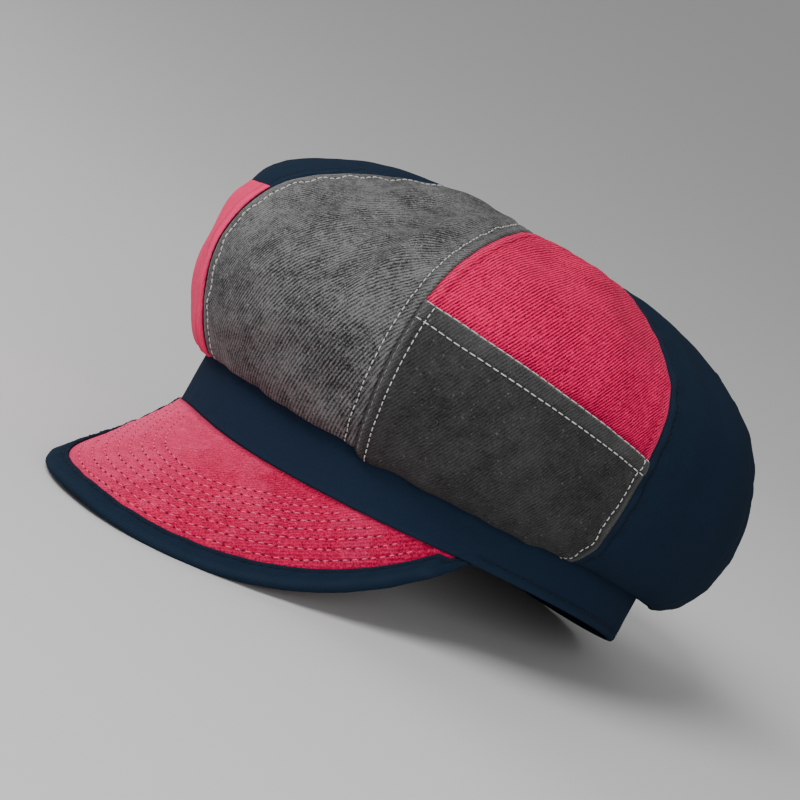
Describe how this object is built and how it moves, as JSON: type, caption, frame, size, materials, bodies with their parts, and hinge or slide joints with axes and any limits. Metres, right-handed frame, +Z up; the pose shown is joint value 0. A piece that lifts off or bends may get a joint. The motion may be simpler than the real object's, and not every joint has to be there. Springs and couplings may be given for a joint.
{
  "type": "panelled cloth cap",
  "caption": "Soft gathered-crown cap of wedge-shaped cloth gores on a headband, with a stitched, bound peak and patch pockets.",
  "frame": {"origin": "middle of the cap's footprint, on the surface it rests on", "axes": "+Z up from the surface, the peak towards -Y, the wearer's left towards +X"},
  "size_m": [0.209, 0.3016, 0.1402],
  "materials": {
    "grey_twill": "washed grey cotton twill",
    "pink_twill": "washed pink cotton twill",
    "navy_twill": "dark navy cotton twill"
  },
  "bodies": {
    "root": {"headband": "navy_twill", "peak": "pink_twill", "peak_binding": "navy_twill", "gore_front": "grey_twill", "gore_left_side": "pink_twill", "gore_left_rear": "navy_twill", "gore_left_back": "navy_twill", "gore_right_back": "navy_twill", "gore_right_rear": "navy_twill", "gore_right_side": "navy_twill", "pocket_left": "grey_twill", "pocket_right": "pink_twill"}
  },
  "joints": []
}
